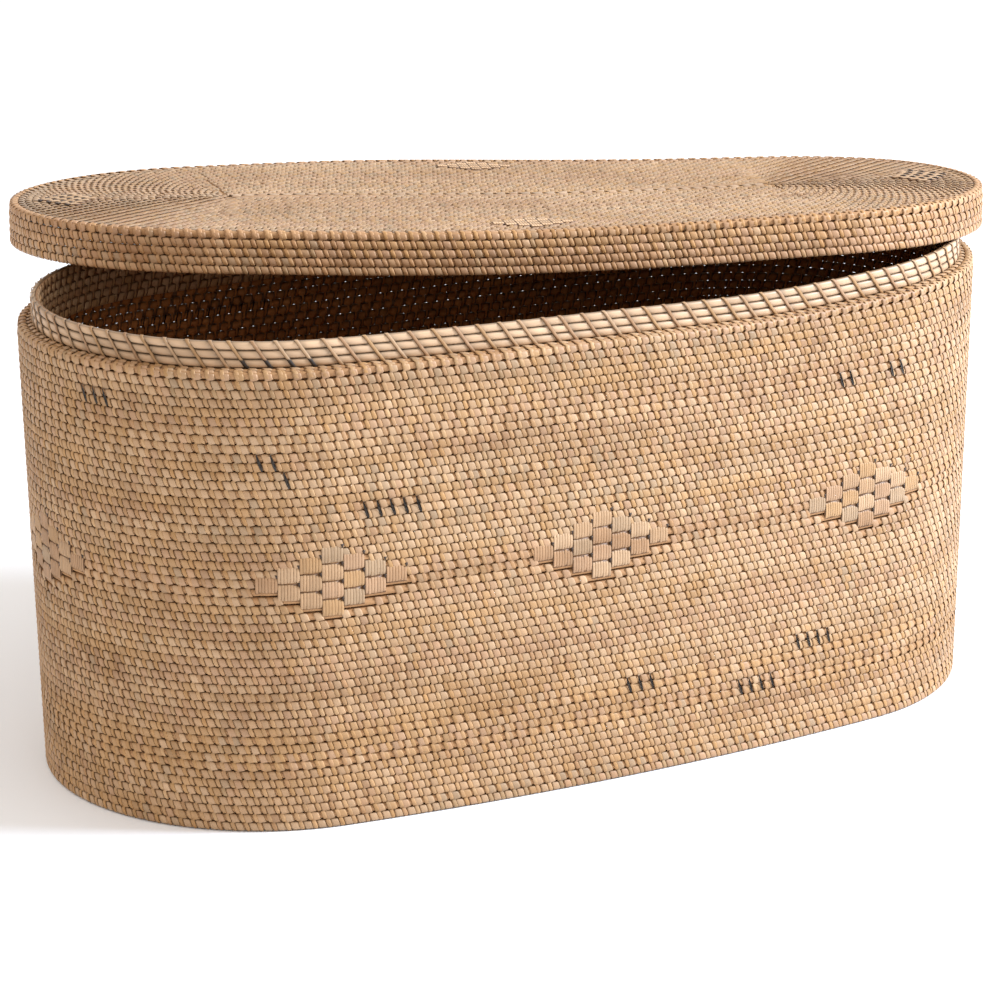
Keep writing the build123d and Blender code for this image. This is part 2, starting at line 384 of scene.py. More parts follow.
def rods(weave, fabric, first, last, segments, corners=8):
    """One closed round rod in each of a fabric's courses, with painted shade on its inner side."""
    angle = math.pi / 2 + np.arange(corners) * 2 * math.pi / corners
    # how far each corner lies on the rod's inner side, which gets painted shade
    inner = np.clip(0.5 - 0.9 * np.cos(angle), 0, 1)[:, None]
    colour = np.array(ROD_TAN) * (1 - inner) + np.array(ROD_SHADE) * inner
    for course in range(first, last):
        v = course + 0.5
        count = max(48, int(segments * course_length(fabric, v) / AROUND))
        u = even(fabric, v, count)[:, None]
        across = v + fabric.rod * np.sin(angle) / fabric.course
        weave.hoop(fabric.place(u, across, fabric.rod * np.cos(angle)), colour)


# One stitch: how far down it is in courses, its left and right edges from its start, and
# how far it stands out from the rods' middle line, in millimetres. It is a block over its
# own rod and then a tail, which lies just left of the next course's block.
STITCH = np.array([
    (0.02, 0.5, 5.8, 3.2),
    (0.10, 0.1, 7.1, 4.0),
    (0.30, 0.6, 8.0, 4.50),
    (0.62, 1.5, 8.9, 4.65),
    (0.86, 2.3, 9.7, 4.2),
    (0.95, 2.1, 8.5, 3.7),
    (1.02, 0.9, 4.8, 3.7),
    (1.12, 1.0, 5.0, 4.5),
    (1.50, 2.0, 6.0, 4.95),
    (1.82, 3.0, 6.9, 4.5),
    (1.98, 3.7, 7.0, 3.2),
])
TAIL = STITCH[6:].copy()            # a tail whose block is some other stitch's
SHORT_STITCH = STITCH[:6].copy()    # on a last course, tucked under it
SHORT_STITCH[-1] = (0.97, 2.0, 7.6, 2.6)
INNER_STITCH = np.array([           # on the inner side of a wall
    (0.05, 0.3, 6.6, 2.6),
    (0.30, 0.5, 8.5, 4.5),
    (0.72, 1.4, 9.3, 4.5),
    (0.98, 2.0, 4.6, 3.0),
    (1.45, 2.9, 5.3, 4.6),
    (1.95, 3.9, 6.2, 2.8),
])
SHORT_INNER = INNER_STITCH[:4]
EDGE_DEEP = 0.38 * MM               # how far a stitch's edges lie below its middle
STITCH_WOBBLE = 0.22 * MM           # how far stitches stray sideways
STITCH_GIRTH = 0.04                 # and in width
EDGE_ROUND = 0.20                   # share of a stitch's width that rounds off at each edge
EDGE_PAINTED_LIGHT = 1.15                    # painted light: the edges are made paler, against the shade that falls on their rounding
TUCKED_SHADE = 0.80                  # painted shade: how dark the peel is made where it goes between two rods
GAP_SHADE = 0.06                    # painted shade: how dark the sliver is that stands for the gap of a lost tail
LOST_AT = (0.0, 0.7, 1.0)           # places along the sliver
LOST_WIDTH = (0.25, 0.95, 0.4)      # its width there, of a tail's
LOST_LENGTH = 1.9                   # its length, of a tail's
LOST_LEAN = 2.4 * MM                # how far its longer part leans to the right in one course
LOST_OUT = 5.15 * MM                # how far out it is laid, over the weave
TAIL_TONE = (0.98, 0.93, 0.80)      # a tail is more golden than its block


def sew(weave, fabric, course, u, shape, colours, side=1, lost=None):
    """Lays one stitch of that shape at each u. side is -1 on the inner side. Where lost is
    true, a dark sliver laid over the weave is painted shade, for the gap that a lost tail leaves."""
    down, left, right, height = shape.T
    left, right, height = left * MM, right * MM, height * MM * fabric.rod / ROD
    wide = (right - left) * EDGE_ROUND
    across = np.stack([left, left + wide, right - wide, right], 1)
    out = np.stack([height - EDGE_DEEP, height, height, height - EDGE_DEEP], 1)
    v = (course + down)[None, :, None]
    rate = speed(fabric, u, course + 0.5)[:, None, None]
    wobble = STITCH_WOBBLE * rng.standard_normal((len(u), 1, 1))
    girth = 1 + STITCH_GIRTH * rng.standard_normal((len(u), 1, 1))
    out = np.repeat(out[None], len(u), 0)
    across = np.repeat(across[None], len(u), 0)
    below = down > 1.0
    raised = np.minimum(height / (fabric.rod + PEEL), 1)
    # the lower a part of the stitch lies, the darker it is made: painted shade in the creases
    tuck_shade = np.interp(raised, [0.5, 0.92], [TUCKED_SHADE, 1.0])
    # the two edges painted paler: painted light
    shade = np.stack([tuck_shade * EDGE_PAINTED_LIGHT, tuck_shade, tuck_shade, tuck_shade * EDGE_PAINTED_LIGHT], 1)
    shade = np.repeat(shade[None], len(u), 0)
    if lost is not None and lost.any():
        tail = below[None, :, None] & lost[:, None, None]
        # the sliver painted nearly black: painted shade of the gap
        shade = np.where(tail, GAP_SHADE, shade)
        out = np.where(tail, LOST_OUT, out)
        thin = np.interp(down - 1, LOST_AT, LOST_WIDTH)[None, :, None]
        longer = np.where(below, (down - 1) * (LOST_LENGTH - 1), 0)[None, :, None]
        middle = across.mean(2, keepdims=True)
        across = np.where(tail, middle + thin * (across - middle) + longer * LOST_LEAN, across)
        v = np.where(tail, v + longer, v)
    points = fabric.place(u[:, None, None] + (across * girth + wobble) / rate, v, side * out)
    tone = np.where(below[:, None], TAIL_TONE, 1.0)[None, :, None, :]
    weave.strands(points, colours[:, None, None, :] * shade[..., None] * tone)


def sew_courses(weave, fabric, first, last, mix, shape=STITCH, side=1, count=None, keep=None,
                worn=None, start_shape=None, last_shape=SHORT_STITCH):
    """Sews whole courses, each shifted along from the one before it. Where count is None,
    the stitches keep their width and their number follows the course's length."""
    for course in range(first, last):
        phase = SHIFT * course + 0.05 * rng.standard_normal()
        if count:
            u = even(fabric, course + 0.5, count, phase)
        else:
            u = even_halves(fabric, course + 0.5, AROUND / STITCHES, phase % 1.0)
        colours = peel_colours(len(u), mix, runs=max(2, len(u) // 30))
        if keep is not None:
            kept = keep(u, course)
            u, colours = u[kept], colours[kept]
        if not len(u):
            continue
        lost = worn(u, course) if worn else None
        this = shape
        if course == last - 1 and last_shape is not None:
            this = last_shape
        if course == first and start_shape is not None:
            this = start_shape
        sew(weave, fabric, course, u, this, colours, side, lost)


# ---- materials -------------------------------------------------------------------------
def peel_material(name, streak=0.16, bump=0.12, rough=(0.42, 0.62), tint=(1, 1, 1), scale=900):
    """Split rattan: the peel's own colour, streaked along its fibres, with a satin skin."""
    material = bpy.data.materials.new(name)
    material.use_nodes = True
    nodes, links = material.node_tree.nodes, material.node_tree.links
    shader = nodes["Principled BSDF"]
    shader.inputs["Specular IOR Level"].default_value = 0.35

    colour = nodes.new("ShaderNodeAttribute")
    colour.attribute_name = "peel"
    grain = nodes.new("ShaderNodeAttribute")
    grain.attribute_name = "grain"
    stretch = nodes.new("ShaderNodeMapping")
    stretch.inputs["Scale"].default_value = (0.12 * scale, 2.2 * scale, 1.0)
    links.new(grain.outputs["Vector"], stretch.inputs["Vector"])
    fibres = nodes.new("ShaderNodeTexNoise")
    fibres.inputs["Scale"].default_value = 1.0
    fibres.inputs["Detail"].default_value = 3.0
    fibres.inputs["Roughness"].default_value = 0.6
    links.new(stretch.outputs["Vector"], fibres.inputs["Vector"])

    streaks = nodes.new("ShaderNodeMapRange")
    streaks.inputs["To Min"].default_value = 1 - streak
    streaks.inputs["To Max"].default_value = 1 + streak
    links.new(fibres.outputs["Fac"], streaks.inputs["Value"])
    place = nodes.new("ShaderNodeTexCoord")
    drawn_out = nodes.new("ShaderNodeMapping")
    drawn_out.inputs["Scale"].default_value = (0.5, 0.5, 3.0)
    links.new(place.outputs["Object"], drawn_out.inputs["Vector"])
    stains = nodes.new("ShaderNodeTexNoise")
    stains.inputs["Scale"].default_value = 12.0
    stains.inputs["Detail"].default_value = 5.0
    stains.inputs["Roughness"].default_value = 0.6
    links.new(drawn_out.outputs["Vector"], stains.inputs["Vector"])
    weathered = nodes.new("ShaderNodeValToRGB")
    weathered.color_ramp.elements[0].position = 0.30
    weathered.color_ramp.elements[0].color = (0.84 * tint[0], 0.79 * tint[1], 0.74 * tint[2], 1)
    weathered.color_ramp.elements[1].position = 0.58
    weathered.color_ramp.elements[1].color = (1.05 * tint[0], 1.05 * tint[1], 1.06 * tint[2], 1)
    links.new(stains.outputs["Fac"], weathered.inputs["Fac"])
    stained = nodes.new("ShaderNodeMix")
    stained.data_type = "RGBA"
    stained.blend_type = "MULTIPLY"
    stained.inputs["Factor"].default_value = 1.0
    links.new(colour.outputs["Color"], stained.inputs["A"])
    links.new(weathered.outputs["Color"], stained.inputs["B"])
    streaked = nodes.new("ShaderNodeVectorMath")
    streaked.operation = "SCALE"
    links.new(stained.outputs["Result"], streaked.inputs[0])
    links.new(streaks.outputs["Result"], streaked.inputs["Scale"])
    links.new(streaked.outputs["Vector"], shader.inputs["Base Color"])

    satin = nodes.new("ShaderNodeMapRange")
    satin.inputs["To Min"].default_value = rough[0]
    satin.inputs["To Max"].default_value = rough[1]
    links.new(fibres.outputs["Fac"], satin.inputs["Value"])
    links.new(satin.outputs["Result"], shader.inputs["Roughness"])
    ridges = nodes.new("ShaderNodeBump")
    ridges.inputs["Strength"].default_value = bump
    ridges.inputs["Distance"].default_value = 0.4 * MM
    links.new(fibres.outputs["Fac"], ridges.inputs["Height"])
    links.new(ridges.outputs["Normal"], shader.inputs["Normal"])
    return material


def solid_cane_material(name, light, dark):
    """Plain poles and slats: grain along X, with darker streaks."""
    material = bpy.data.materials.new(name)
    material.use_nodes = True
    nodes, links = material.node_tree.nodes, material.node_tree.links
    shader = nodes["Principled BSDF"]
    place = nodes.new("ShaderNodeTexCoord")
    stretch = nodes.new("ShaderNodeMapping")
    stretch.inputs["Scale"].default_value = (14, 260, 260)
    links.new(place.outputs["Object"], stretch.inputs["Vector"])
    fibres = nodes.new("ShaderNodeTexNoise")
    fibres.inputs["Scale"].default_value = 1.0
    fibres.inputs["Detail"].default_value = 5.0
    links.new(stretch.outputs["Vector"], fibres.inputs["Vector"])
    ramp = nodes.new("ShaderNodeValToRGB")
    ramp.color_ramp.elements[0].position = 0.3
    ramp.color_ramp.elements[0].color = (*dark, 1)
    ramp.color_ramp.elements[1].position = 0.7
    ramp.color_ramp.elements[1].color = (*light, 1)
    links.new(fibres.outputs["Fac"], ramp.inputs["Fac"])
    links.new(ramp.outputs["Color"], shader.inputs["Base Color"])
    satin = nodes.new("ShaderNodeMapRange")
    satin.inputs["To Min"].default_value = 0.5
    satin.inputs["To Max"].default_value = 0.7
    links.new(fibres.outputs["Fac"], satin.inputs["Value"])
    links.new(satin.outputs["Result"], shader.inputs["Roughness"])
    ridges = nodes.new("ShaderNodeBump")
    ridges.inputs["Strength"].default_value = 0.25
    ridges.inputs["Distance"].default_value = 0.5 * MM
    links.new(fibres.outputs["Fac"], ridges.inputs["Height"])
    links.new(ridges.outputs["Normal"], shader.inputs["Normal"])
    return material


wall_peel = peel_material("wall_peel", tint=(0.955, 0.95, 0.94))
lid_peel = peel_material("lid_peel", tint=(0.89, 0.92, 1.0), rough=(0.36, 0.55))
band_peel = peel_material("band_peel", tint=(1.02, 0.98, 0.95))
rod_skin = peel_material("rod_skin", streak=0.25, rough=(0.6, 0.8))
# the peel tinted darker and browner for the trunk's inside, the base and the lid's underside:
# painted shade
shaded_inner_peel = peel_material("shaded_inner_peel", tint=(0.88, 0.55, 0.26), rough=(0.6, 0.8))
diamond_peel = peel_material("diamond_peel", streak=0.10, rough=(0.38, 0.55))
rim_skin = peel_material("rim_skin", streak=0.10, bump=0.06, rough=(0.34, 0.5), scale=500)
cane = solid_cane_material("cane", (0.55, 0.38, 0.21), (0.38, 0.24, 0.12))

# ---- the trunk's wall ------------------------------------------------------------------
wall = Wall()
DIAMOND_LEVEL = 0.235
DIAMOND_FRONT_X = (-0.300, -0.037, 0.262)
DIAMOND_BACK_X = (-0.300, 0.0, 0.300)
DIAMOND_COLUMNS = (1, 2, 3, 4, 3, 2, 1)
BLOCK_WIDTH = 20 * MM
BLOCK_COURSES = 2
STITCH_MIDDLE = 3.5 * MM         # roughly, from a stitch's start to its block's middle
DIAMOND_V = (SHOULDER_TOP - DIAMOND_LEVEL) / COURSE


def u_at(x, back):
    """u on a long side, or at an end's tip, for a given x."""
    if abs(x) > FOCUS * 1.3:
        quarter = (SIDE_HALF + END_LENGTH / 2) / AROUND
        return quarter if x > 0 else 1 - quarter
    run = SIDE_RADIUS * math.asin(x / SIDE_RADIUS) / AROUND
    return 0.5 - run if back else run % 1.0


diamond_us = (
    [u_at(x, False) for x in DIAMOND_FRONT_X]
    + [u_at(x, True) for x in DIAMOND_BACK_X]
    + [u_at(-HALF_LENGTH, False), u_at(HALF_LENGTH, False)]
)


def off_diamonds(u, course):
    """True for the stitches that don't start inside a diamond."""
    kept = np.ones(len(u), bool)
    columns = len(DIAMOND_COLUMNS)
    for middle in diamond_us:
        run = ((u - middle + 0.5) % 1.0 - 0.5) * AROUND + STITCH_MIDDLE
        column = np.floor(run / BLOCK_WIDTH + columns / 2).astype(int)
        blocks = np.where((column >= 0) & (column < columns),
                          np.array(DIAMOND_COLUMNS)[np.clip(column, 0, columns - 1)], 0)
        inside = np.abs(course + 0.5 - DIAMOND_V) < blocks * BLOCK_COURSES / 2
        kept &= ~inside
    return kept


# Where tails look lost: the middle's u, the course, and how many stitches to each side.
FRONT_WORN = (
    (0.0005, 39, 1.5),
    (0.0520, 42, 2.2),
    (0.0790, 38, 2.0),
    (0.0920, 7, 1.0),
    (0.1150, 7, 1.0),
    (0.7850, 2, 1.5),
    (0.8510, 8, 1.0),
    (0.8600, 10, 0.6),
    (0.8990, 14, 2.4),
)
INNER_WORN = (
    (0.5905, 4, 5.5),
)


def worn_at(places):
    """A function that picks a course's lost stitches."""
    def picked(u, course):
        lost = np.zeros(len(u), bool)
        for middle, worn_course, reach in places:
            if course == worn_course:
                run = np.abs((u - middle + 0.5) % 1.0 - 0.5) * STITCHES
                lost |= run < reach
        return lost
    return picked


wall_rods = Weave()
rods(wall_rods, wall, 1, WALL_COURSES, 400)
wall_rods.pieces("wall_rods", rod_skin, "basket", "wall_weave", ("foot_ring",))

wall_stitches = Weave()
sew_courses(wall_stitches, wall, 1, WALL_COURSES, WALL_MIX, count=STITCHES, keep=off_diamonds,
            worn=worn_at(FRONT_WORN))
wall_stitches.pieces("wall_stitches", wall_peel, "basket", "wall_weave", ("wall",))

inner_stitches = Weave()
sew_courses(inner_stitches, wall, 1, WALL_COURSES, WALL_MIX, shape=INNER_STITCH, side=-1,
            count=STITCHES, worn=worn_at(INNER_WORN), last_shape=SHORT_INNER)
inner_stitches.pieces("wall_inner_stitches", shaded_inner_peel, "basket", "wall_weave")

# ---- diamonds --------------------------------------------------------------------------
# Along a block's strand: the share of its length, and how far out it is there, as a
# share of the block's own height.
BLOCK_RISE = np.array([0.0, 0.05, 0.22, 0.5, 0.78, 0.95, 1.0])
BLOCK_BULGE = np.array([0.72, 0.86, 0.97, 1.0, 0.97, 0.86, 0.72])


def shade_backing(weave, fabric, u, v, width, courses, stand):
    """A dark sheet behind a block: painted shade of the hollow, seen where its strands don't reach.
    """
    rate = speed(fabric, np.array([u]), v)[0]
    across = np.array([-0.5, -0.49, 0.49, 0.5]) * width / rate
    down = (np.linspace(-0.5, 0.5, 3) * courses)[:, None]
    heights = (np.array([-1.0, 0, 0, -1.0]) * MM + stand)[None]
    points = fabric.place(u + across[None], v + down, heights + 0 * down)
    weave.strands(points[None], HOLLOW_SHADE)


def hole(weave, fabric, u, v, width, courses, stand):
    """A dark three-cornered patch: painted shade of the hole at a block's corner."""
    rate = speed(fabric, np.array([u]), v)[0]
    half = (np.array([0.5, 0.32, 0.05]) * width / rate)[:, None]
    across = np.array([-1.0, -0.9, 0.9, 1.0]) * half
    down = (np.linspace(-0.5, 0.5, 3) * courses)[:, None]
    heights = (np.array([-1.0, 0, 0, -1.0]) * MM + stand)[None]
    points = fabric.place(u + across, v + down, heights + 0 * down)
    # painted shade, darker still in the hole
    weave.strands(points[None], np.array(HOLLOW_SHADE) * 0.25)


def block_strands(weave, fabric, u, v, width, courses, colour, stand, count, short=0.12):
    """One block: strands side by side over the same courses. The last strand starts lower
    down and leaves its corner of the block open; the one before it does so a little."""
    strand = np.arange(count)
    pitch = width / count
    rate = speed(fabric, np.array([u]), v)[0]
    left = (strand - count / 2) * pitch
    edges = np.stack([left, left + 0.2 * pitch, left + 0.8 * pitch, left + pitch], 1)
    bulge = BLOCK_BULGE * stand
    heights = np.stack([bulge - 0.2 * MM, bulge, bulge, bulge - 0.2 * MM], 1)
    cut = short * (strand == count - 1) + 0.4 * short * (strand == count - 2)
    rise = cut[:, None] + (1 - cut[:, None]) * BLOCK_RISE
    vs = v + (rise - 0.5) * courses
    jitter = 0.03 * rng.standard_normal((count, 1, 1))
    points = fabric.place(u + edges[:, None, :] / rate, vs[:, :, None] + jitter,
                          heights[None] + 0 * edges[:, None, :])
    shade = 1 + 0.05 * rng.standard_normal((count, 1, 1, 1))
    # each strand darker towards both ends, where it goes under: painted shade
    tuck_shade = np.interp(BLOCK_RISE, [0, 0.05, 0.95, 1], [0.35, 1, 1, 0.35])[None, :, None, None]
    weave.strands(points, np.asarray(colour)[None, None, None] * shade * tuck_shade)


diamonds = Weave()
block_tones = (CREAM, GOLD, PALE, PINK, TAN, GREY)
for middle in diamond_us:
    for column, blocks in enumerate(DIAMOND_COLUMNS):
        along = (column - (len(DIAMOND_COLUMNS) - 1) / 2) * BLOCK_WIDTH / AROUND
        for block in range(blocks):
            v = DIAMOND_V + (block - (blocks - 1) / 2) * BLOCK_COURSES
            tone = block_tones[rng.integers(len(block_tones))]
            shade_backing(diamonds, wall, middle + along, v, BLOCK_WIDTH, BLOCK_COURSES, 4.0 * MM)
            block_strands(diamonds, wall, middle + along, v, BLOCK_WIDTH * 0.96,
                          BLOCK_COURSES * 0.95, tone, 5.2 * MM, 7)
            hole(diamonds, wall, middle + along + BLOCK_WIDTH * 0.47 / AROUND,
                 v - BLOCK_COURSES * 0.44, 3.4 * MM, 0.42, 5.0 * MM)
diamonds.pieces("wall_diamond_blocks", diamond_peel, "basket", "diamond_peel", ("wall_diamonds",))

# ---- shoulder and rim ------------------------------------------------------------------
def hoop_at(weave, grow_in, grow_out, low, high, bevel, colour, segments=420):
    """A flat hoop between two offsets of the oval, with bevelled edges."""
    u = np.arange(segments) / segments
    x, y, nx, ny, _ = oval(u)
    corners = [(grow_in, low), (grow_out - bevel, low), (grow_out, low + bevel),
               (grow_out, high - bevel), (grow_out - bevel, high), (grow_in, high)]
    rows = []
    for grow, z in corners:
        px, py = x + grow * nx, y + grow * ny
        rows.append(np.stack([px, py, z - wall_sag(px, py, z)], -1))
    weave.hoop(np.stack(rows, 1), colour)


shoulder_edge = Turned(wall)
shoulder = Weave()
rods(shoulder, shoulder_edge, -1, 1, 400)
sew_courses(shoulder, shoulder_edge, -1, 1, WALL_MIX, count=STITCHES, last_shape=None)
# the core of the ledge, between the collar and the rods of the edge, coloured dark: painted shade of
# the hollow there
hoop_at(shoulder, COLLAR_GROW, -8.0 * MM, SHOULDER_TOP - COURSE, SHOULDER_TOP - 4.2 * MM,
        1.0 * MM, ROD_SHADE)
shoulder.pieces("shoulder_courses", wall_peel, "basket", "wall_weave", ("shoulder_ring",))

RAILS = ("rim_rail_lower", "rim_rail_middle", "rim_rail_upper")
RAIL_HEIGHT = (RIM_TOP - SHOULDER_TOP) / len(RAILS)
RAIL_CREAM = np.array((0.57, 0.385, 0.235))
LASHES = 117
LASH_HALF = 2.1 * MM                # half a lash's width
LOST_FEET = (0.8440, 0.8780)        # from and to these u, the lashes' feet are almost black
LASH_RUN = 17 * MM                  # how far a lash runs sideways from the foot to the top
RAIL_BULGE = 1.1 * MM
PER_LASH = 10                       # a rail's segments for each lash
RAIL_SEGMENTS = LASHES * PER_LASH


def lash_offset(share):
    """How far a lash is to the right of its middle, that share of the way up the rim."""
    return (0.5 - share) * LASH_RUN


for index, name in enumerate(RAILS):
    rail = Weave()
    low = SHOULDER_TOP + index * RAIL_HEIGHT + 0.35 * MM
    high = low + RAIL_HEIGHT - 0.7 * MM
    u = np.arange(RAIL_SEGMENTS) / RAIL_SEGMENTS
    x, y, nx, ny, _ = oval(u)
    tone = 1 + 0.05 * np.sin(2 * math.pi * (3 * u + 0.3 * index))
    tone *= 1 + 0.05 * np.repeat(rng.standard_normal(LASHES), PER_LASH)
    rows, tones = [], []
    for out, z in ((-3.4, low), (-1.3, low), (-0.2, low + 1.4 * MM), (0.0, (low + high) / 2),
                   (-0.2, high - 1.4 * MM), (-1.3, high), (-3.4, high)):
        nearest = (u - lash_offset((z - SHOULDER_TOP) / (RIM_TOP - SHOULDER_TOP)) / AROUND) * LASHES
        between = np.abs(np.sin(math.pi * nearest)) ** 0.6
        grow = RIM_GROW + out * MM + RAIL_BULGE * (between - 1)
        px, py = x + grow * nx, y + grow * ny
        rows.append(np.stack([px, py, z - wall_sag(px, py, z)], -1))
        # darker by half where a lash crosses the rail and on the rail's back edges: painted shade
        tones.append(tone * (0.5 + 0.5 * between) * (0.5 if out < -1 else 1.0))
    rail.hoop(np.stack(rows, 1), RAIL_CREAM * np.stack(tones, 1)[..., None])
    rail.pieces(name + "_cane", rim_skin, "basket", "rim_cane", (name,))

collar = Weave()
collar_weave = Collar()
rods(collar, collar_weave, 0, collar_weave.courses, 300)
sew_courses(collar, collar_weave, 0, collar_weave.courses, WALL_MIX, shape=INNER_STITCH, side=-1,
            count=STITCHES)
collar.pieces("rim_collar_weave", wall_peel, "basket", "cane", ("rim_collar",))

lashing = Weave()
u_lashes = (np.arange(LASHES) + 0.06 * rng.standard_normal(LASHES)) / LASHES
climb = np.array([-0.03, 0.03, 0.15, 0.29, 0.36, 0.50, 0.64, 0.71, 0.85, 0.97, 1.02])
lash_out = np.array([-0.6, 0.6, 0.8, 0.7, 0.1, 0.8, 0.1, 0.7, 0.8, 0.6, -2.2]) * MM
lash_tones = PEELS[rng.choice(len(PEELS), LASHES, p=(0.3, 0.25, 0.2, 0.1, 0.15, 0.0))]
lash_tones *= 0.97
no_foot = (u_lashes % 1.0 > LOST_FEET[0]) & (u_lashes % 1.0 < LOST_FEET[1])
# painted shade where those feet have broken off
foot_shade = np.where(no_foot[:, None] & (climb < 0.33), GAP_SHADE, 1.0)[:, :, None, None]
cross = np.array([-LASH_HALF, -0.5 * LASH_HALF, 0.5 * LASH_HALF, LASH_HALF])
sideways = lash_offset(climb)
us = u_lashes[:, None, None] + (cross[None, None] + sideways[None, :, None]) / AROUND
x, y, nx, ny, _ = oval(us)
lift = np.array([-0.7, 0.0, 0.0, -0.7]) * MM
grow = RIM_GROW + lash_out[None, :, None] + lift[None, None]
z = SHOULDER_TOP + climb[None, :, None] * (RIM_TOP - SHOULDER_TOP) + 0 * grow
px, py = x + grow * nx, y + grow * ny
lash_points = np.stack(np.broadcast_arrays(px, py, z - wall_sag(px, py, z)), -1)
edge_shade = np.array([0.68, 1, 1, 0.68])[None, None, :, None]
lashing.strands(lash_points, lash_tones[:, None, None] * edge_shade * foot_shade)
lashing.pieces("rim_lashing_strands", wall_peel, "basket", "lashing", ("rim_lashing",))

# ---- base ------------------------------------------------------------------------------
base_top = Coil(PANEL_GROW, PANEL_MIDDLE, 1)
base_under = Coil(PANEL_GROW, PANEL_MIDDLE, -1)
base_rods = Weave()
rods(base_rods, base_top, 0, COIL_COURSES, 240, corners=6)
base_rods.pieces("base_rods", rod_skin, "basket", "base_weave", ("base_panel",))
base_stitches = Weave()
sew_courses(base_stitches, base_top, 0, COIL_COURSES, WALL_MIX, shape=INNER_STITCH)
sew_courses(base_stitches, base_under, 0, COIL_COURSES, WALL_MIX, shape=INNER_STITCH)
base_stitches.pieces("base_stitches", shaded_inner_peel, "basket", "base_weave")


def core_rod(weave, middle, width):
    """The straight rod in the middle of a flat coil, with rounded ends."""
    reach = np.concatenate([[-1.0, -0.98, -0.94], np.linspace(-0.9, 0.9, 31), [0.94, 0.98, 1.0]])
    girth = np.interp(np.abs(reach), [0.94, 0.98, 1.0], [1.0, 0.8, 0.3])
    angle = np.arange(8) * math.pi / 4
    x = (reach * CORE_HALF)[:, None]
    y = girth[:, None] * width / 2 * np.cos(angle)
    z = middle + girth[:, None] * COIL_ROD * np.sin(angle)
    weave.strands(np.stack(np.broadcast_arrays(x, y, z), -1)[None], ROD_TAN)


def core_stitches(weave, middle, mix):
    """The stitches that go across a flat coil's core."""
    pitch = AROUND / STITCHES
    count = int(2 * CORE_HALF / pitch)
    x = (np.arange(count) - count / 2) * pitch
    y = np.array([-5.6, -4.2, -1.8, 1.8, 4.2, 5.6]) * MM
    height = np.array([3.4, 4.5, 4.95, 4.95, 4.5, 3.4]) * MM
    across = np.array([0.0, 1.4, 7.6, 9.0]) * MM
    sunk = np.array([-0.55, 0.0, 0.0, -0.55]) * MM
    px = x[:, None, None] + across - (y * 0.25)[:, None]
    py = y[:, None] + 0 * px
    pz = middle + height[:, None] + sunk + 0 * px
    weave.strands(np.stack([px, py, pz], -1), peel_colours(count, mix)[:, None, None, :])


base_core = Weave()
core_rod(base_core, PANEL_MIDDLE, CORE_WIDTH)
base_core.pieces("base_core_rod", rod_skin, "basket", "cane", ("base_core",))

# ---- lid -------------------------------------------------------------------------------
along = Vector((math.cos(LID_TURN), math.sin(LID_TURN),
                LID_RISE_ALONG * math.cos(LID_TURN) + LID_RISE_BACK * math.sin(LID_TURN)))
along.normalize()
up = Vector((-LID_RISE_ALONG, -LID_RISE_BACK, 1)).normalized()
back = up.cross(along)
lid_matrix = np.array([
    [along.x, back.x, up.x, LID_ORIGIN.x],
    [along.y, back.y, up.y, LID_ORIGIN.y],
    [along.z, back.z, up.z, LID_ORIGIN.z],
    [0, 0, 0, 1],
])


def lid_warp(points):
    """Lets the lid sink between its ends, in front a little further to the left."""
    x, y = points[:, 0], points[:, 1]
    middle = 0.09 + 0.11 * y / HALF_WIDTH
    points = points.copy()
    points[:, 2] -= LID_SAG * np.clip(1 - ((x - middle) / LID_SAG_REACH) ** 2, 0, 1) ** 2
    return points


def lid_pieces(weave, name, material, slot, replaced=()):
    return weave.pieces(name, material, "lid", slot, replaced, lid_matrix, lid_warp)


band = Band()
lid_edge = Turned(band)
COIL_GROW = LID_GROW - PEEL - ROD - LID_COURSE / 2
lid_middle = LID_BAND - PEEL - COIL_ROD
lid_top = Coil(COIL_GROW, lid_middle, 1)
lid_under = Coil(COIL_GROW, lid_middle, -1)

lid_rods = Weave()
rods(lid_rods, lid_top, 0, COIL_COURSES, 320, corners=6)
lid_pieces(lid_rods, "lid_coil_rods", rod_skin, "lid_weave")
lid_stitches = Weave()
sew_courses(lid_stitches, lid_top, 0, COIL_COURSES, LID_MIX)
core_stitches(lid_stitches, lid_middle, LID_MIX)
lid_pieces(lid_stitches, "lid_coil_stitches", lid_peel, "lid_weave", ("lid_top",))
under_stitches = Weave()
sew_courses(under_stitches, lid_under, 0, COIL_COURSES, LID_MIX, shape=INNER_STITCH)
lid_pieces(under_stitches, "lid_under_stitches", shaded_inner_peel, "lid_weave")

band_rods = Weave()
rods(band_rods, lid_edge, 0, 1, 400)
rods(band_rods, band, 1, LID_COURSES, 400)
lid_pieces(band_rods, "lid_band_rods", rod_skin, "lid_weave", ("lid_skirt",))
band_stitches = Weave()
sew_courses(band_stitches, lid_edge, -1, 1, LID_MIX, count=STITCHES, start_shape=TAIL,
            last_shape=None)
sew_courses(band_stitches, band, 1, LID_COURSES, LID_MIX, count=STITCHES)
sew_courses(band_stitches, band, 0, LID_COURSES, LID_MIX, shape=INNER_STITCH, side=-1,
            count=STITCHES)
lid_pieces(band_stitches, "lid_band_stitches", band_peel, "lid_weave", ("lid_edge_ring",))

lid_core = Weave()
core_rod(lid_core, lid_middle, CORE_WIDTH)
lid_pieces(lid_core, "lid_core_rod", rod_skin, "lid_weave", ("lid_core",))

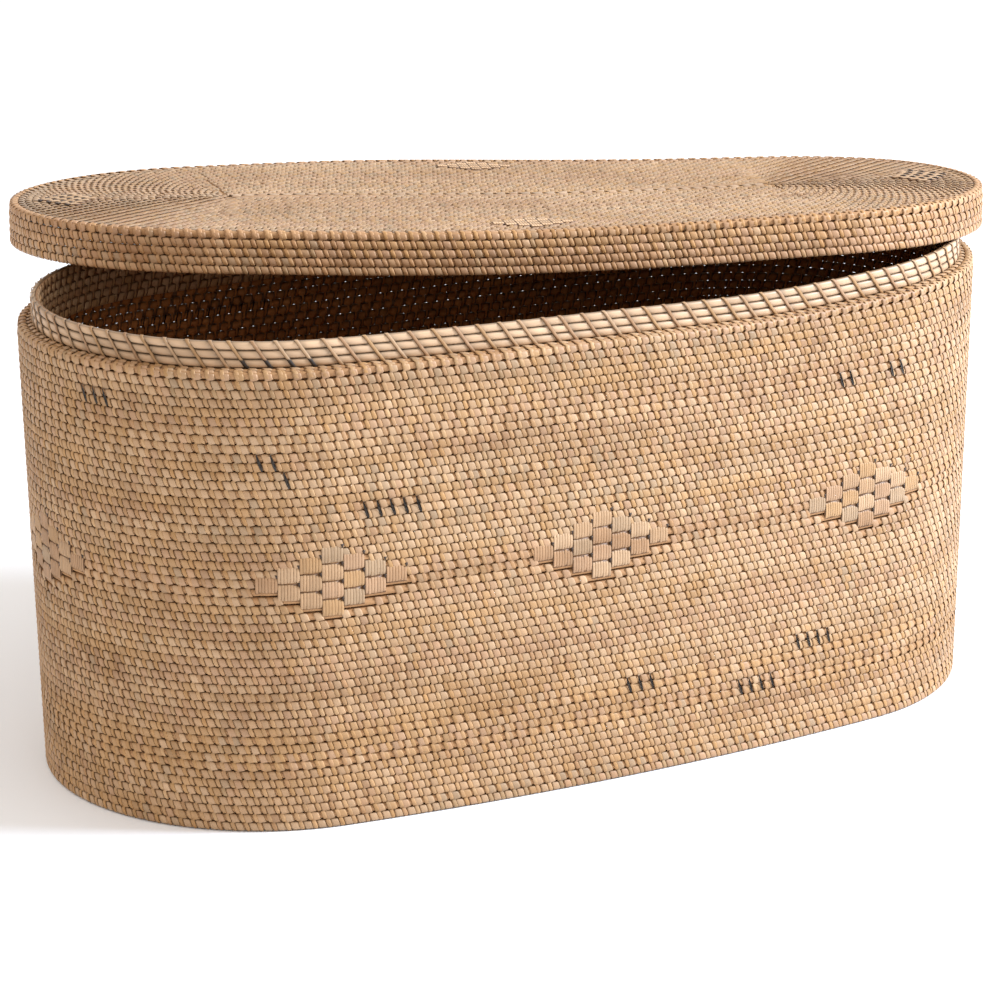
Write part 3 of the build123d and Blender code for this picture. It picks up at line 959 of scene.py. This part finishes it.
# Two rounded poles under the lid. Like all of the lid they follow its sag, so at rest the
# right end of the back one goes about 2 mm into the rim.
BATTEN_Y = 120 * MM
BATTEN_HALF = 380 * MM
BATTEN_WIDTH = 22 * MM
BATTEN_HEIGHT = 17 * MM
BATTEN_TOP = LID_BAND - 9 * MM
BATTEN_ROUND = 0.75             # 0 gives an oval section, 1 a square one
BATTEN_TIP = 0.82               # girth at the two ends, of the pole's
battens = Weave()
reach = np.linspace(-1, 1, 41)
angle = (np.arange(12) + 0.5) * math.pi / 6
square = np.maximum(np.abs(np.cos(angle)), np.abs(np.sin(angle))) ** BATTEN_ROUND
for side in (-1, 1):
    girth = np.where(np.abs(reach) == 1, BATTEN_TIP, 1.0)[:, None]
    y = side * BATTEN_Y + girth * BATTEN_WIDTH / 2 * np.cos(angle) / square
    z = BATTEN_TOP - BATTEN_HEIGHT / 2 + girth * BATTEN_HEIGHT / 2 * np.sin(angle) / square
    x = (reach * BATTEN_HALF)[:, None] + 0 * y
    battens.strands(np.stack([x, y, z], -1)[None], TAN)
lid_pieces(battens, "lid_batten_poles", rod_skin, "cane", ("lid_battens",))

ORNAMENT_INSET_X = 61 * MM
ORNAMENT_INSET_Y = 55 * MM
ORNAMENT_COLUMNS = (1, 2, 3, 4, 3, 2, 1)
ORNAMENT_BLOCK = 11 * MM
ORNAMENT_DEPTH = 14 * MM
# a quarter brighter than CREAM: a painted highlight, for the gloss of the front and back ornaments
PAINTED_GLOSS = tuple(1.25 * part for part in CREAM)
# each one's place around the lid, its inset, its two tones and its holes' width
ornaments = Weave()
for u, inset, tones, hole_width in (
        (0.0, ORNAMENT_INSET_Y, (PAINTED_GLOSS, CREAM), 0),
        (0.5, ORNAMENT_INSET_Y, (PAINTED_GLOSS, CREAM), 0),
        (u_at(HALF_LENGTH, False), ORNAMENT_INSET_X, (CREAM, PALE), 7.5 * MM),
        (u_at(-HALF_LENGTH, False), ORNAMENT_INSET_X, (CREAM, PALE), 7.5 * MM)):
    reach = (HALF_WIDTH if inset == ORNAMENT_INSET_Y else HALF_LENGTH - CORE_HALF) + COIL_GROW
    level = COIL_COURSES * (inset + COIL_GROW) / reach
    course = reach / COIL_COURSES
    rate = speed(lid_top, np.array([u]), level)[0]
    for column, blocks in enumerate(ORNAMENT_COLUMNS):
        step = (column - (len(ORNAMENT_COLUMNS) - 1) / 2) * ORNAMENT_BLOCK / rate
        for block in range(blocks):
            v = level + (block - (blocks - 1) / 2) * ORNAMENT_DEPTH / course
            shade_backing(ornaments, lid_top, u + step, v, ORNAMENT_BLOCK, ORNAMENT_DEPTH / course,
                    5.0 * MM)
            block_strands(ornaments, lid_top, u + step, v, 0.92 * ORNAMENT_BLOCK,
                          0.93 * ORNAMENT_DEPTH / course, tones[block % 2], 5.7 * MM, 4)
            if hole_width:
                hole(ornaments, lid_top, u + step + 0.44 * ORNAMENT_BLOCK / rate,
                     v - 0.43 * ORNAMENT_DEPTH / course, hole_width, 5.0 * MM / course, 5.9 * MM)
lid_pieces(ornaments, "lid_ornament_blocks", diamond_peel, "ornament_peel", ("lid_ornaments",))

# ---- carried-over frame parts ----------------------------------------------------------
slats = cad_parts["base_slats"]
slats.data.materials.clear()
slats.data.materials.append(cane)

# ---- floor, light and camera -----------------------------------------------------------
def plain_material(name, colour, roughness):
    material = bpy.data.materials.new(name)
    material.use_nodes = True
    shader = material.node_tree.nodes["Principled BSDF"]
    shader.inputs["Base Color"].default_value = (*colour, 1)
    shader.inputs["Roughness"].default_value = roughness
    return material


bpy.ops.mesh.primitive_plane_add(size=14, location=(0, 0, -0.0005))
floor = bpy.context.object
floor.name = "floor"
floor.data.materials.append(plain_material("floor_white", (0.94, 0.955, 0.975), 0.9))


def area_light(name, place, aim, size, power, colour):
    data = bpy.data.lights.new(name, "AREA")
    data.shape = "DISK"
    data.size = size
    data.energy = power
    data.color = colour
    light = bpy.data.objects.new(name, data)
    bpy.context.scene.collection.objects.link(light)
    light.location = place
    light.rotation_euler = (Vector(aim) - Vector(place)).to_track_quat("-Z", "Y").to_euler()
    return light


area_light("key", place=(3.1, -1.85, 2.6), aim=(0, 0, 0.3), size=1.4, power=288,
           colour=(0.93, 1.065, 1.26))

world = bpy.data.worlds.new("studio")
bpy.context.scene.world = world
world.use_nodes = True
sky = world.node_tree.nodes["Background"]
sky.inputs["Color"].default_value = (1.0, 0.955, 0.915, 1)
sky.inputs["Strength"].default_value = 1.035

AZIMUTH = math.radians(-27.82)
ELEVATION = math.radians(16.75)
ROLL = math.radians(-0.445)
DISTANCE = 3.401
AIM_RIGHT = -0.0148
AIM_UP = 0.1987
LENS = 122.77

towards = Vector((math.sin(AZIMUTH) * math.cos(ELEVATION),
                  -math.cos(AZIMUTH) * math.cos(ELEVATION), math.sin(ELEVATION)))
level_right = Vector((math.cos(AZIMUTH), math.sin(AZIMUTH), 0))
level_up = towards.cross(level_right)
right = level_right * math.cos(ROLL) + level_up * math.sin(ROLL)
above = level_up * math.cos(ROLL) - level_right * math.sin(ROLL)
spot = towards * DISTANCE + right * AIM_RIGHT + above * AIM_UP
camera_data = bpy.data.cameras.new("camera")
camera_data.lens = LENS
camera_data.sensor_width = 36
camera_data.clip_end = 50
camera = bpy.data.objects.new("camera", camera_data)
bpy.context.scene.collection.objects.link(camera)
camera.matrix_world = Matrix((
    (right.x, above.x, towards.x, spot.x),
    (right.y, above.y, towards.y, spot.y),
    (right.z, above.z, towards.z, spot.z),
    (0, 0, 0, 1),
))
bpy.context.scene.camera = camera
bpy.context.scene.view_settings.view_transform = "Standard"
